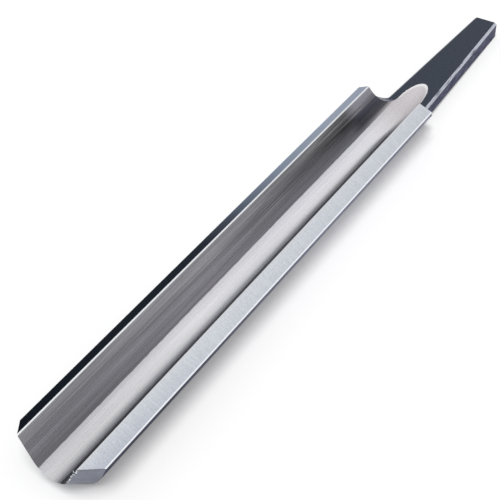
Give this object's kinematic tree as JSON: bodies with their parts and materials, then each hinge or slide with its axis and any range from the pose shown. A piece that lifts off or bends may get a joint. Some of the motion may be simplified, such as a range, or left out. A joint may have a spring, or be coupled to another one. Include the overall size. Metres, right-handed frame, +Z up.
{
  "type": "roughing gouge blade",
  "caption": "Unhandled spindle roughing gouge: a deep U-shaped steel trough with a ground bevel at one end and a tapered tang at the other.",
  "frame": {"origin": "on the surface that the blade lies on, under the middle of its length and width", "axes": "+X runs from the cutting edge to the end of the tang, +Z is up out of the open flute, +Y completes the right-handed frame"},
  "size_m": [0.2484, 0.0274, 0.0158],
  "materials": {
    "ground_steel": "ground and linished, with a dark tang"
  },
  "bodies": {
    "root": {"gouge_blade": "ground_steel"}
  },
  "joints": []
}
